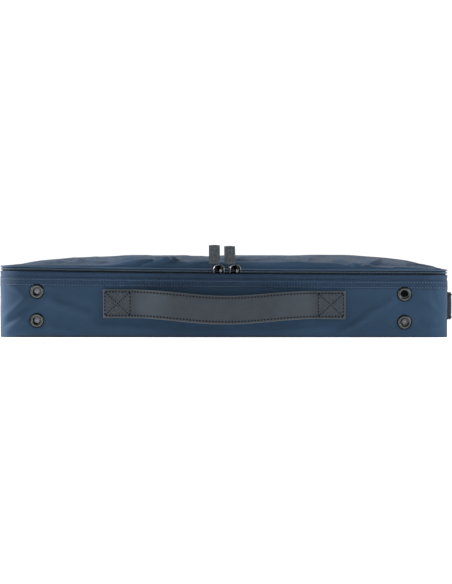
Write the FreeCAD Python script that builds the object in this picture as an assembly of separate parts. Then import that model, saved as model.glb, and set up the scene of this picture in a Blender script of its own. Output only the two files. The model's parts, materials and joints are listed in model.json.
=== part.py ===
"""Soft carry case: padded zip-round case with crowned lid, leather handles and eyelets.

Frame: origin at the centre of the underside, +Z up, +X to the right when facing the
front handle, front wall at -Y, hinge wall at +Y.  All sizes in millimetres.
An "inset" is a distance inwards from the outer face of the case wall.
"""
import FreeCAD, Part
import math
import os

from FreeCAD import Vector

os.makedirs("parts", exist_ok=True)

# ---- overall size -------------------------------------------------------------------
CASE_LENGTH = 535.0
CASE_DEPTH = 360.0
CORNER_RADIUS = 24.0
CASE_TOP = 100.0          # highest point of the crowned lid
HALF_LENGTH = CASE_LENGTH / 2
HALF_DEPTH = CASE_DEPTH / 2
STRAIGHT_X = HALF_LENGTH - CORNER_RADIUS      # end of the straight run of a long wall

# ---- layers of cloth, foam and board --------------------------------------------------
SKIN = 1.2
FOAM = 6.0
LINING = 0.8
BOARD = 2.0
TAPE = 0.9
WALL = SKIN + FOAM + LINING

BASE_FOAM_BOTTOM = SKIN + BOARD
BASE_LINING_BOTTOM = BASE_FOAM_BOTTOM + FOAM
FLOOR_TOP = BASE_LINING_BOTTOM + LINING       # inside floor of the case
WALL_TOP = 70.0                               # top of the padded wall
BINDING = 1.0                                 # tape over the raw top of the foam

# ---- zip ------------------------------------------------------------------------------
ZIP_Z = 78.6              # meeting line of the two rows of teeth
CHAIN_GAP = 1.0
CHAIN_HEIGHT = 1.5
CHAIN_OUT = 0.4           # insets of the chain's outer and inner faces
CHAIN_IN = 2.8
LOWER_TAPE_BOTTOM = 62.0
CHAIN_LOWER_TOP = ZIP_Z - CHAIN_GAP / 2
CHAIN_UPPER_BOTTOM = ZIP_Z + CHAIN_GAP / 2
LOWER_TAPE_TOP = CHAIN_LOWER_TOP - CHAIN_HEIGHT
UPPER_TAPE_BOTTOM = CHAIN_UPPER_BOTTOM + CHAIN_HEIGHT
ZIP_END_LENGTH = 8.0      # cloth tabs that cover the zip's two ends
ZIP_END_DROP = 2.0

# ---- lid ------------------------------------------------------------------------------
PIPING_RADIUS = 1.2
PIPING_Z = 83.2
UPPER_TAPE_TOP = PIPING_Z - PIPING_RADIUS
LID_SKIN_INSET = 2 * PIPING_RADIUS
LID_LINING_INSET = 2.6
LID_LINING_BOTTOM = 81.0
LID_BOARD_BOTTOM = LID_LINING_BOTTOM + LINING
LID_BOARD_TOP = PIPING_Z
LID_EDGE_TOP = PIPING_Z + SKIN                # lid cloth where it meets the piping
LID_FOAM_INSET = 10.0
CROWN = CASE_TOP - LID_EDGE_TOP
CROWN_POWER_X = 3.5       # how square the crown is along the length and the depth
CROWN_POWER_Y = 2.6

# ---- hinge ----------------------------------------------------------------------------
HINGE_Z = 79.0
HINGE_SLIT = 0.4
HINGE_TAPE_BOTTOM = 58.0

# ---- eyelets --------------------------------------------------------------------------
EYELET_X = (-223.5, 215.0)
EYELET_Z = (19.4, 53.4)
EYELET_HOLE = 4.5
EYELET_BARREL = 5.1
EYELET_FLANGE = 8.0
EYELET_FLANGE_DEPTH = 1.2
WASHER_RADIUS = 7.5
WASHER_DEPTH = 0.8
BARREL_BEHIND_SKIN = 1.4

# ---- handles --------------------------------------------------------------------------
STRAP_HALF_LENGTH = 144.6
STRAP_FREE = 110.0        # half the stretch that stands off the wall
STRAP_GRIP = 64.0         # half the stretch that stays flat when the strap swings
STRAP_WIDTH = 34.0
LEATHER = 1.6
BACKING = 1.0
FRONT_BOW = 15.0          # how far the backing stands off the wall in the middle
FRONT_STRAP_Z = 39.6
FRONT_SAG = 6.8
SIDE_BOW = 10.4
SIDE_STRAP_Z = 39.5
SIDE_SAG = 1.5
PATCH_DEPTH = 1.0
PATCH_MARGIN = 4.0

# ---- sliders and pulls ----------------------------------------------------------------
SLIDER_X = (-6.2, 13.4)
SLIDER_HALF_LENGTH = 6.9
SLIDER_BOTTOM = 76.6
SLIDER_SHOULDER = 80.6
SLIDER_TOP = 87.7
PLATE_OUT = 1.8           # front and back of the slider's front plate, out from the wall
PLATE_IN = 0.3
BACK_PLATE_OUT = 3.1      # insets of the slider's back plate
BACK_PLATE_IN = 4.3
BACK_PLATE_Z = (75.9, 80.7)
BACK_PLATE_HALF_LENGTH = 5.0
POST_HALF_WIDTH = 1.5
POST_HEIGHT = 0.5
BRIDGE_HALF_WIDTH = 1.4
BRIDGE_OUT = 5.4
BRIDGE_BAR = 1.2
BRIDGE_Z = (76.8, 82.6)
LOOP_OUT = 3.0            # plane of the wire loop, out from the wall
WIRE = 0.8                # wire radius
LOOP_BOTTOM = 79.2
LOOP_TOP = 90.8
LOOP_CORNER = 1.6
LOOP_HALF_TOP = 5.2       # the loop leans over from the slider to its pull
LOOP_HALF_BOTTOM = 4.6
TAB_CENTRE = (-5.4, -6.6)     # middle of each pull, from its slider's centre
TAB_WIDTH = 13.2
TAB_DEPTH = 3.4
TAB_BOTTOM = 88.2
TAB_TOP = 111.2

LEFT_RIGHT = (("left", -1), ("right", 1))


def save(name, shape):
    """Write one sub-part and report its size."""
    shape.exportStep("parts/" + name + ".step")
    print("%-26s valid %s solids %d volume %.1f" % (name, shape.isValid(), len(shape.Solids), shape.Volume))


def box(x, y, z):
    """Box from three (low, high) pairs."""
    corner = Vector(x[0], y[0], z[0])
    return Part.makeBox(x[1] - x[0], y[1] - y[0], z[1] - z[0], corner)


def plan_wire(inset, z):
    """Outline of the case at an inset: a rectangle with round corners."""
    half_x = HALF_LENGTH - inset
    half_y = HALF_DEPTH - inset
    radius = CORNER_RADIUS - inset
    diagonal = radius * (1 - math.sqrt(0.5))
    edges = []
    for sx, sy in ((1, -1), (1, 1), (-1, 1), (-1, -1)):
        on_end = Vector(sx * half_x, sy * (half_y - radius), z)
        on_front = Vector(sx * (half_x - radius), sy * half_y, z)
        middle = Vector(sx * (half_x - diagonal), sy * (half_y - diagonal), z)
        edges.append(Part.Arc(on_front, middle, on_end).toShape())
        if sx * sy < 0:
            across = Vector(on_end.x, -on_end.y, z)
            edges.append(Part.LineSegment(on_end, across).toShape())
        else:
            across = Vector(-on_front.x, on_front.y, z)
            edges.append(Part.LineSegment(on_front, across).toShape())
    return Part.Wire(Part.sortEdges(edges)[0])


def plan_plate(inset, z_low, z_high):
    """Flat plate with the case's outline."""
    face = Part.Face(plan_wire(inset, z_low))
    return face.extrude(Vector(0, 0, z_high - z_low))


def wall_ring(inset_out, inset_in, z_low, z_high):
    """Closed band that follows the wall all the way round."""
    return plan_plate(inset_out, z_low, z_high).cut(plan_plate(inset_in, z_low, z_high))


def back_run():
    """Space round the straight run of the back wall."""
    return box((-STRAIGHT_X, STRAIGHT_X), (0, CASE_DEPTH), (-1, CASE_TOP + 1))


def wall_cylinder(x, z, radius, out, inset):
    """Cylinder through the front wall, from a distance out of it to an inset."""
    return Part.makeCylinder(radius, out + inset, Vector(x, -HALF_DEPTH - out, z), Vector(0, 1, 0))


# ---- case -----------------------------------------------------------------------------
def eyelet_places():
    for side, x in zip(("left", "right"), EYELET_X):
        for level, z in zip(("lower", "upper"), EYELET_Z):
            yield level + "_" + side, x, z


def eyelet(x, z):
    """Rolled flange and barrel, pressed through the front skin."""
    flange = wall_cylinder(x, z, EYELET_FLANGE, EYELET_FLANGE_DEPTH, 0)
    flange = flange.makeFillet(EYELET_FLANGE_DEPTH * 0.8, [outer_front_edge(flange)])
    barrel = wall_cylinder(x, z, EYELET_BARREL, 0, SKIN + BARREL_BEHIND_SKIN)
    bore = wall_cylinder(x, z, EYELET_HOLE, EYELET_FLANGE_DEPTH, SKIN + BARREL_BEHIND_SKIN)
    return flange.fuse(barrel).cut(bore).removeSplitter()


def outer_front_edge(disc):
    """The front rim of a disc that faces -Y."""
    rims = [edge for edge in disc.Edges if edge.BoundBox.YLength < 0.01]
    return min(rims, key=lambda edge: edge.BoundBox.YMin)


def washer(x, z):
    """Ring that the eyelet's barrel is rolled over, behind the skin."""
    disc = wall_cylinder(x, z, WASHER_RADIUS, -SKIN, SKIN + WASHER_DEPTH)
    return disc.cut(wall_cylinder(x, z, EYELET_BARREL, 0, WALL))


def eyelet_pockets():
    """Room in the foam for the washers and the rolled barrels."""
    pockets = []
    for name, x, z in eyelet_places():
        pockets.append(wall_cylinder(x, z, WASHER_RADIUS, -SKIN, SKIN + BARREL_BEHIND_SKIN))
    return Part.Compound(pockets)


def barrel_holes():
    """Holes that the eyelets' barrels fill in the front skin."""
    return Part.Compound([wall_cylinder(x, z, EYELET_BARREL, 1, SKIN) for name, x, z in eyelet_places()])


def zip_run(inset_out, inset_in, z_low, z_high):
    """Band of the zip: left wall, front wall, right wall and both back corners."""
    return wall_ring(inset_out, inset_in, z_low, z_high).cut(back_run())


def lower_tape():
    return zip_run(SKIN, SKIN + TAPE, LOWER_TAPE_BOTTOM, LOWER_TAPE_TOP)


def wall_foam():
    """The padded wall as one band, before it is divided into its pads."""
    foam = wall_ring(SKIN, SKIN + FOAM, BASE_FOAM_BOTTOM, WALL_TOP)
    foam = foam.cut(lower_tape()).cut(eyelet_pockets())
    for name, patch in handle_patches():
        foam = foam.cut(patch)
    return foam


def foam_pads():
    """Four straight pads and the group of four corner pads."""
    foam = wall_foam()
    tall = (0, CASE_TOP)
    straight_y = HALF_DEPTH - CORNER_RADIUS
    along_x = (-STRAIGHT_X, STRAIGHT_X)
    along_y = (-straight_y, straight_y)
    pads = {
        "foam_front": foam.common(box(along_x, (-CASE_DEPTH, 0), tall)),
        "foam_back": foam.common(box(along_x, (0, CASE_DEPTH), tall)),
        "foam_left": foam.common(box((-CASE_LENGTH, 0), along_y, tall)),
        "foam_right": foam.common(box((0, CASE_LENGTH), along_y, tall)),
    }
    corners = []
    for sx in (-1, 1):
        for sy in (-1, 1):
            x = sorted((sx * STRAIGHT_X, sx * CASE_LENGTH))
            y = sorted((sy * straight_y, sy * CASE_DEPTH))
            corners.extend(foam.common(box(x, y, tall)).Solids)
    pads["foam_corners"] = Part.Compound(corners)
    return pads


def make_case():
    ring = wall_ring(0, SKIN, SKIN, WALL_TOP)
    save("gusset_skin", ring.cut(back_run()).cut(barrel_holes()))
    save("back_skin", ring.common(back_run()))
    save("base_skin", plan_plate(0, 0, SKIN))
    save("base_board", plan_plate(SKIN, SKIN, BASE_FOAM_BOTTOM))
    save("base_foam", plan_plate(SKIN + FOAM, BASE_FOAM_BOTTOM, BASE_LINING_BOTTOM))
    save("base_lining", plan_plate(SKIN + FOAM, BASE_LINING_BOTTOM, FLOOR_TOP))
    save("wall_lining", wall_ring(SKIN + FOAM, WALL, FLOOR_TOP, WALL_TOP))
    save("rim_binding", wall_ring(SKIN + TAPE, WALL, WALL_TOP, WALL_TOP + BINDING))
    for name, pad in foam_pads().items():
        save(name, pad)
    save("zip_tape_lower", lower_tape())
    save("zip_chain_lower", zip_run(CHAIN_OUT, CHAIN_IN, LOWER_TAPE_TOP, CHAIN_LOWER_TOP))
    for name, x, z in eyelet_places():
        save("eyelet_" + name, eyelet(x, z))
        save("washer_" + name, washer(x, z))


# ---- lid ------------------------------------------------------------------------------
def crown_height(x, y, drop):
    """Height of the crowned lid over a place, lowered by a drop."""
    u = abs(x) / (HALF_LENGTH - LID_SKIN_INSET)
    v = abs(y) / (HALF_DEPTH - LID_SKIN_INSET)
    rise = CROWN * (1 - u ** CROWN_POWER_X) * (1 - v ** CROWN_POWER_Y)
    return LID_EDGE_TOP - drop + rise


def under_crown(drop):
    """Everything under the crowned surface, down to below the lid."""
    steps_x = 20
    steps_y = 14
    rows = []
    for i in range(steps_x + 1):
        x = (i / steps_x - 0.5) * 2 * (HALF_LENGTH - LID_SKIN_INSET)
        row = []
        for j in range(steps_y + 1):
            y = (j / steps_y - 0.5) * 2 * (HALF_DEPTH - LID_SKIN_INSET)
            row.append(Vector(x, y, crown_height(x, y, drop)))
        rows.append(row)
    surface = Part.BSplineSurface()
    surface.interpolate(rows)
    return surface.toShape().extrude(Vector(0, 0, -CASE_TOP))


def lid_skin():
    plan = plan_plate(LID_SKIN_INSET, LID_BOARD_TOP - SKIN, CASE_TOP + 1)
    return plan.common(under_crown(0)).cut(under_crown(SKIN))


def lid_foam():
    plan = plan_plate(LID_FOAM_INSET, LID_BOARD_TOP, CASE_TOP)
    return plan.common(under_crown(SKIN))


def round_rod(path, radius, start, direction):
    """Rod of round section along a closed path."""
    section = Part.Wire(Part.makeCircle(radius, start, direction))
    return path.makePipeShell([section], True, False)


def make_lid():
    save("lid_skin", lid_skin())
    save("lid_foam", lid_foam())
    save("lid_board", plan_plate(LID_LINING_INSET, LID_BOARD_BOTTOM, LID_BOARD_TOP))
    save("lid_lining", plan_plate(LID_LINING_INSET, LID_LINING_BOTTOM, LID_BOARD_BOTTOM))
    path = plan_wire(PIPING_RADIUS, PIPING_Z)
    start = Vector(0, -HALF_DEPTH + PIPING_RADIUS, PIPING_Z)
    save("lid_piping", round_rod(path, PIPING_RADIUS, start, Vector(1, 0, 0)))
    save("zip_tape_upper", zip_run(SKIN, SKIN + TAPE, UPPER_TAPE_BOTTOM, UPPER_TAPE_TOP))
    save("zip_chain_upper", zip_run(CHAIN_OUT, CHAIN_IN, CHAIN_UPPER_BOTTOM, UPPER_TAPE_BOTTOM))


def make_hinge():
    """Two halves of the cloth strip behind the case, with the fold between them."""
    along = (-STRAIGHT_X, STRAIGHT_X)
    behind = (HALF_DEPTH, HALF_DEPTH + TAPE)
    save("hinge_tape_lower", box(along, behind, (HINGE_TAPE_BOTTOM, HINGE_Z - HINGE_SLIT / 2)))
    save("hinge_tape_upper", box(along, behind, (HINGE_Z + HINGE_SLIT / 2, LID_EDGE_TOP)))
    tab_bottom = LOWER_TAPE_TOP - ZIP_END_DROP
    for side, sign in LEFT_RIGHT:
        across = sorted((sign * (STRAIGHT_X - ZIP_END_LENGTH), sign * STRAIGHT_X))
        inside = (HALF_DEPTH - CHAIN_IN, HALF_DEPTH)
        save("zip_end_" + side, box(across, inside, (tab_bottom, CHAIN_LOWER_TOP)))


# ---- handles --------------------------------------------------------------------------
def on_front(along, out, z):
    return Vector(along, -HALF_DEPTH - out, z)


def on_right(along, out, z):
    return Vector(HALF_LENGTH + out, along, z)


def strap_section(place, along, bow, sag, z_mid, inner, thickness):
    """Upright rectangle across the strap."""
    u = abs(along) / STRAP_FREE
    out = bow * (1 - u ** 5) ** 2 + inner
    mid = z_mid - sag * 0.5 * (1 + math.cos(math.pi * u))
    low = mid - STRAP_WIDTH / 2
    high = mid + STRAP_WIDTH / 2
    corners = [
        place(along, out, low),
        place(along, out, high),
        place(along, out + thickness, high),
        place(along, out + thickness, low),
        place(along, out, low),
    ]
    return Part.makePolygon(corners)


def strap_run(place, start, end, bow, sag, z_mid, inner, thickness):
    """Stretch of strap between two places along it."""
    count = 7
    sections = []
    for i in range(count):
        along = start + (end - start) * i / (count - 1)
        sections.append(strap_section(place, along, bow, sag, z_mid, inner, thickness))
    return Part.makeLoft(sections, True, False)


def strap_end(place, sign, z_mid):
    """Flat end of a strap, sewn to the wall."""
    near = place(sign * STRAP_FREE, 0, z_mid - STRAP_WIDTH / 2)
    far = place(sign * STRAP_HALF_LENGTH, LEATHER + BACKING, z_mid + STRAP_WIDTH / 2)
    x = sorted((near.x, far.x))
    y = sorted((near.y, far.y))
    return box(x, y, (near.z, far.z))


def strap_patch(place, sign, z_mid):
    """Stiff patch behind the skin that the strap's end is sewn through."""
    bottom = z_mid - STRAP_WIDTH / 2 - PATCH_MARGIN
    near = place(sign * (STRAP_FREE - PATCH_MARGIN), -SKIN - PATCH_DEPTH, bottom)
    far = place(sign * (STRAP_HALF_LENGTH + PATCH_MARGIN), -SKIN, z_mid + STRAP_WIDTH / 2)
    x = sorted((near.x, far.x))
    y = sorted((near.y, far.y))
    return box(x, y, (near.z, far.z))


def handle_patches():
    yield "patch_front_left", strap_patch(on_front, -1, FRONT_STRAP_Z)
    yield "patch_front_right", strap_patch(on_front, 1, FRONT_STRAP_Z)
    yield "patch_side_front", strap_patch(on_right, -1, SIDE_STRAP_Z)
    yield "patch_side_rear", strap_patch(on_right, 1, SIDE_STRAP_Z)


def make_handle(name, place, ends, bow, sag, z_mid):
    """One strap handle: two sewn ends, two bends and a grip of leather on webbing."""
    grip = (-STRAP_GRIP, STRAP_GRIP)
    save(name + "_grip_leather", strap_run(place, grip[0], grip[1], bow, sag, z_mid, BACKING, LEATHER))
    save(name + "_grip_backing", strap_run(place, grip[0], grip[1], bow, sag, z_mid, 0, BACKING))
    for end, sign in zip(ends, (-1, 1)):
        start = sign * STRAP_GRIP
        bend = strap_run(place, start, sign * STRAP_FREE, bow, sag, z_mid, 0, LEATHER + BACKING)
        save(name + "_bend_" + end, bend)
        save(name + "_end_" + end, strap_end(place, sign, z_mid))


def make_handles():
    make_handle("front_handle", on_front, ("left", "right"), FRONT_BOW, FRONT_SAG, FRONT_STRAP_Z)
    make_handle("side_handle", on_right, ("front", "rear"), SIDE_BOW, SIDE_SAG, SIDE_STRAP_Z)
    for name, patch in handle_patches():
        save(name, patch)


# ---- sliders and pulls ----------------------------------------------------------------
def slider(x):
    """Slider casting: arched front plate with a bridge, post and back plate."""
    front = -HALF_DEPTH - PLATE_OUT
    left = x - SLIDER_HALF_LENGTH
    right = x + SLIDER_HALF_LENGTH
    low_left = Vector(left, front, SLIDER_BOTTOM)
    low_right = Vector(right, front, SLIDER_BOTTOM)
    high_left = Vector(left, front, SLIDER_SHOULDER)
    high_right = Vector(right, front, SLIDER_SHOULDER)
    outline = Part.Wire([
        Part.LineSegment(low_left, low_right).toShape(),
        Part.LineSegment(low_right, high_right).toShape(),
        Part.Arc(high_right, Vector(x, front, SLIDER_TOP), high_left).toShape(),
        Part.LineSegment(high_left, low_left).toShape(),
    ])
    plate = Part.Face(outline).extrude(Vector(0, PLATE_OUT - PLATE_IN, 0))
    across = (x - BRIDGE_HALF_WIDTH, x + BRIDGE_HALF_WIDTH)
    bridge = box(across, (-HALF_DEPTH - BRIDGE_OUT, front), BRIDGE_Z)
    hole = box(across, (-HALF_DEPTH - BRIDGE_OUT + BRIDGE_BAR, front),
               (BRIDGE_Z[0] + BRIDGE_BAR, BRIDGE_Z[1] - BRIDGE_BAR))
    post = box((x - POST_HALF_WIDTH, x + POST_HALF_WIDTH),
               (-HALF_DEPTH - PLATE_IN, -HALF_DEPTH + BACK_PLATE_OUT),
               (ZIP_Z - POST_HEIGHT / 2, ZIP_Z + POST_HEIGHT / 2))
    back = box((x - BACK_PLATE_HALF_LENGTH, x + BACK_PLATE_HALF_LENGTH),
               (-HALF_DEPTH + BACK_PLATE_OUT, -HALF_DEPTH + BACK_PLATE_IN), BACK_PLATE_Z)
    return plate.fuse([bridge.cut(hole), post, back]).removeSplitter()


def rounded_path(corners, radius):
    """Closed path through corners, each rounded with the same radius."""
    edges = []
    ends = []
    for i, corner in enumerate(corners):
        before = (corners[i - 1] - corner).normalize()
        after = (corners[(i + 1) % len(corners)] - corner).normalize()
        half_angle = before.getAngle(after) / 2
        start = corner + before * (radius / math.tan(half_angle))
        end = corner + after * (radius / math.tan(half_angle))
        middle = (before + after).normalize()
        near = corner + middle * (radius / math.sin(half_angle) - radius)
        edges.append(Part.Arc(start, near, end).toShape())
        ends.append((start, end))
    for i, (start, end) in enumerate(ends):
        edges.append(Part.LineSegment(ends[i - 1][1], start).toShape())
    return Part.Wire(Part.sortEdges(edges)[0])


def wire_loop(x, middle):
    """Wire loop from the bridge of the slider at x up to the pull above it."""
    y = -HALF_DEPTH - LOOP_OUT
    corners = (
        Vector(x - LOOP_HALF_BOTTOM, y, LOOP_BOTTOM),
        Vector(x + LOOP_HALF_BOTTOM, y, LOOP_BOTTOM),
        Vector(middle + LOOP_HALF_TOP, y, LOOP_TOP),
        Vector(middle - LOOP_HALF_TOP, y, LOOP_TOP),
    )
    return round_rod(rounded_path(corners, LOOP_CORNER), WIRE, Vector(x, y, LOOP_BOTTOM), Vector(1, 0, 0))


def webbing_tab(middle, loop):
    """Folded webbing over the loop's top bar."""
    out = HALF_DEPTH + LOOP_OUT
    tab = box((middle - TAB_WIDTH / 2, middle + TAB_WIDTH / 2), (-out - TAB_DEPTH / 2, -out + TAB_DEPTH / 2),
              (TAB_BOTTOM, TAB_TOP))
    folds = [edge for edge in tab.Edges if edge.BoundBox.XLength > TAB_WIDTH - 0.1]
    return tab.makeFillet(TAB_DEPTH * 0.4, folds).cut(loop)


def make_sliders():
    for (side, sign), x, offset in zip(LEFT_RIGHT, SLIDER_X, TAB_CENTRE):
        loop = wire_loop(x, x + offset)
        save("slider_" + side, slider(x))
        save("pull_loop_" + side, loop)
        save("pull_tab_" + side, webbing_tab(x + offset, loop))


make_case()
make_lid()
make_hinge()
make_handles()
make_sliders()
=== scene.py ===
"""Looks of the soft carry case: cloth, zip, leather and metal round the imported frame.

Metres, +Z up, front handle at -Y, hinge at +Y.  An "inset" is a distance inwards from
the outer face of the wall.  "Round" distances run along the wall from the left end of
the hinge, past the left end, the front and the right end, to the hinge's right end.
"""
import bisect
import json
import math
from dataclasses import dataclass

import bmesh
import bpy
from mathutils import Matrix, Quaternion, Vector, noise


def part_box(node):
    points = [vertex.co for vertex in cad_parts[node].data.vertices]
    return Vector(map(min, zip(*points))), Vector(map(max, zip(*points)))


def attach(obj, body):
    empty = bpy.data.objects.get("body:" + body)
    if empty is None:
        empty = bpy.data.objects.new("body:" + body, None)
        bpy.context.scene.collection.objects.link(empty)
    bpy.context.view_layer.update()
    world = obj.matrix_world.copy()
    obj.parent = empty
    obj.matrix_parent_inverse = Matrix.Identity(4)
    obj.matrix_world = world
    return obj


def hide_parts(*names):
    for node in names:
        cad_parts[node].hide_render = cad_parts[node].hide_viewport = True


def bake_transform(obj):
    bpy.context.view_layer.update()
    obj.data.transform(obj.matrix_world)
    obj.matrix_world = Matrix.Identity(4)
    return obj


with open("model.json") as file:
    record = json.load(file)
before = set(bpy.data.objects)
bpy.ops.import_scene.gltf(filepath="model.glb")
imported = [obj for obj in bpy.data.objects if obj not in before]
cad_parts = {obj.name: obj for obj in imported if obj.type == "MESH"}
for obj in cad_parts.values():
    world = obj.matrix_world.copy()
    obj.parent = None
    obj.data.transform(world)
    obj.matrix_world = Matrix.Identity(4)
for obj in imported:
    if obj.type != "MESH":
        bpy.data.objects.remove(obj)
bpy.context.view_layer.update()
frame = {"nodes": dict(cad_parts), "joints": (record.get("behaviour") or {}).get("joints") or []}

MM = 0.001

# ---- sizes from the frame -------------------------------------------------------------
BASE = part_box("base_skin")
HALF_X = BASE[1][0]
HALF_Y = BASE[1][1]
CORNER = 24 * MM
FLAT_X = HALF_X - CORNER
FLAT_Y = HALF_Y - CORNER
WALL_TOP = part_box("gusset_skin")[1][2]
FLOOR_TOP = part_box("base_lining")[1][2]
CHAIN_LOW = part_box("zip_chain_lower")[0][2]
CHAIN_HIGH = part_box("zip_chain_upper")[1][2]
CHAIN_MID = (CHAIN_LOW + CHAIN_HIGH) / 2
LID_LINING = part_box("lid_lining")[0][2]
LID_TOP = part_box("lid_skin")[1][2]
SKIN = 1.2 * MM
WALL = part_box("foam_front")[1][1] + HALF_Y + 0.8 * MM
HINGE = [joint for joint in frame["joints"] if joint["name"] == "lid_open"][0]

# ---- how the cloth has settled --------------------------------------------------------
ZIP_TILT = -2.5 * MM      # the case leans: its top stands higher at the left end than at the right
ZIP_BOW = 1.2 * MM
PIPING_Z = CHAIN_MID + 3 * MM
PIPING_R = MM
LID_EDGE = PIPING_Z + PIPING_R
LID_INSET = 2.3 * MM
CROWN = LID_TOP - 0.2 * MM - LID_EDGE


def smooth(low, high, value):
    """0 below low, 1 above high, and an even rise between them."""
    t = min(max((value - low) / (high - low), 0.0), 1.0)
    return t * t * (3 - 2 * t)


def settle(x, y, z):
    """Height after the case has sunk towards the right; the hinge side stays put."""
    lean = x / HALF_X
    near_front = 1 - smooth(-0.10, 0.12, y)
    share = math.sqrt(min(max(z / CHAIN_MID, 0.0), 1.0))
    top = smooth(0.055, 0.075, z)
    return z + near_front * (ZIP_TILT * lean * share + ZIP_BOW * lean * lean * top)


# ---- round the wall -------------------------------------------------------------------
@dataclass
class Frame:
    """A place on the outer outline with its outward normal."""
    distance: float
    x: float
    y: float
    nx: float
    ny: float

    def at(self, inset, z):
        return (self.x - self.nx * inset, self.y - self.ny * inset, z)


def outline(step):
    """Places round the case: the zip's run and, last, the hinge's run back to the start."""
    places = []
    state = {"distance": 0.0}

    def add(x, y, nx, ny):
        if places:
            last = places[-1]
            state["distance"] += math.hypot(x - last.x, y - last.y)
        places.append(Frame(state["distance"], x, y, nx, ny))

    def corner(cx, cy, start):
        count = 14
        for i in range(count + 1):
            angle = math.radians(start + 90 * i / count)
            nx = math.cos(angle)
            ny = math.sin(angle)
            add(cx + CORNER * nx, cy + CORNER * ny, nx, ny)

    def line(x0, y0, x1, y1, nx, ny):
        count = max(2, round(math.hypot(x1 - x0, y1 - y0) / step))
        for i in range(1, count):
            add(x0 + (x1 - x0) * i / count, y0 + (y1 - y0) * i / count, nx, ny)

    corner(-FLAT_X, FLAT_Y, 90)
    line(-HALF_X, FLAT_Y, -HALF_X, -FLAT_Y, -1, 0)
    corner(-FLAT_X, -FLAT_Y, 180)
    line(-FLAT_X, -HALF_Y, FLAT_X, -HALF_Y, 0, -1)
    corner(FLAT_X, -FLAT_Y, 270)
    line(HALF_X, -FLAT_Y, HALF_X, FLAT_Y, 1, 0)
    corner(FLAT_X, FLAT_Y, 0)
    zip_count = len(places)
    line(FLAT_X, HALF_Y, -FLAT_X, HALF_Y, 0, 1)
    return places[:zip_count], places


def place_at(places, distance):
    """Place at a distance along the run, between two places."""
    after = bisect.bisect_right(places, distance, 1, len(places) - 1, key=lambda place: place.distance)
    a = places[after - 1]
    b = places[after]
    t = (distance - a.distance) / (b.distance - a.distance)
    nx = a.nx + (b.nx - a.nx) * t
    ny = a.ny + (b.ny - a.ny) * t
    size = math.hypot(nx, ny)
    return Frame(distance, a.x + (b.x - a.x) * t, a.y + (b.y - a.y) * t, nx / size, ny / size)


# ---- meshes ---------------------------------------------------------------------------
def linked(name, data):
    """New object for a mesh, lamp or camera, linked into the scene."""
    thing = bpy.data.objects.new(name, data)
    bpy.context.scene.collection.objects.link(thing)
    return thing


def piece(name, points, faces, material, uvs=None):
    """New smooth mesh piece; uvs holds one (u, v) in metres for each point."""
    mesh = bpy.data.meshes.new(name)
    mesh.from_pydata([tuple(p) for p in points], [], faces)
    mesh.polygons.foreach_set("use_smooth", [True] * len(mesh.polygons))
    if uvs:
        layer = mesh.uv_layers.new(name="cloth")
        corners = [0.0] * (2 * len(mesh.loops))
        for loop in mesh.loops:
            corners[2 * loop.index] = uvs[loop.vertex_index][0]
            corners[2 * loop.index + 1] = uvs[loop.vertex_index][1]
        layer.data.foreach_set("uv", corners)
    mesh.materials.append(material)
    mesh.update()
    return linked(name, mesh)


def grid_faces(rows, columns, wrap_rows=False, wrap_columns=False):
    """Faces over a grid of points that are numbered row by row."""
    faces = []
    for i in range(rows if wrap_rows else rows - 1):
        row = i * columns
        next_row = (i + 1) % rows * columns
        for j in range(columns if wrap_columns else columns - 1):
            next_j = (j + 1) % columns
            faces.append((row + j, next_row + j, next_row + next_j, row + next_j))
    return faces


def flipped(faces):
    return [tuple(reversed(face)) for face in faces]


def end_faces(rings, size):
    """The two faces that fill the ends of a tube of rings, each of size points."""
    last = (rings - 1) * size
    return [tuple(range(size)), tuple(reversed(range(last, last + size)))]


def rod_faces(rings, size):
    """Sides and ends of a rod of rings, each of size points."""
    return grid_faces(rings, size, False, True) + flipped(end_faces(rings, size))


def rectangle(outer, inner, low, high):
    """Profile between two insets and two heights."""
    return [(outer, low), (outer, high), (inner, high), (inner, low)]


def mm_pairs(*pairs, level=0.0):
    """Points of a profile from millimetres; the second number counts from a level."""
    return [(a * MM, level + b * MM) for a, b in pairs]


def in_mm(rows):
    return [[value * MM for value in row] for row in rows]


def wobble(*place):
    """Smooth random value between about -1 and 1."""
    return noise.noise(Vector(place))


def band(name, places, profile, material, closed, tube=True, push=None):
    """Sweeps a profile of (inset, z) round the wall.  push(place, inset, z) moves it outwards."""
    lengths = [0.0]
    for a, b in zip(profile, profile[1:]):
        lengths.append(lengths[-1] + math.dist(a, b))
    points = []
    uvs = []
    for place in places:
        for (inset, z), length in zip(profile, lengths):
            if push:
                inset -= push(place, inset, z)
            x, y, z = place.at(inset, z)
            points.append((x, y, settle(x, y, z)))
            uvs.append((place.distance, length))
    faces = grid_faces(len(places), len(profile), closed, tube)
    if tube and not closed:
        faces += end_faces(len(places), len(profile))
    return piece(name, points, faces, material, uvs)


def plan_grid(inset, step):
    """Points over the case's outline at an inset: rows of (x, y), square corners rounded off."""
    half_x = HALF_X - inset
    half_y = HALF_Y - inset
    radius = CORNER - inset
    count_x = 2 * round(half_x / step)
    count_y = 2 * round(half_y / step)
    rows = []
    for i in range(count_x + 1):
        x = half_x * (2 * i / count_x - 1)
        row = []
        for j in range(count_y + 1):
            y = half_y * (2 * j / count_y - 1)
            row.append(rounded_off(x, y, half_x, half_y, radius))
        rows.append(row)
    return rows


def rounded_off(x, y, half_x, half_y, radius):
    """Moves a point in a square corner into the rounded corner."""
    over_x = abs(x) - (half_x - radius)
    over_y = abs(y) - (half_y - radius)
    if over_x <= 0 or over_y <= 0:
        return (x, y)
    shrink = max(over_x, over_y) / math.hypot(over_x, over_y)
    new_x = half_x - radius + over_x * shrink
    new_y = half_y - radius + over_y * shrink
    return (math.copysign(new_x, x), math.copysign(new_y, y))


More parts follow.
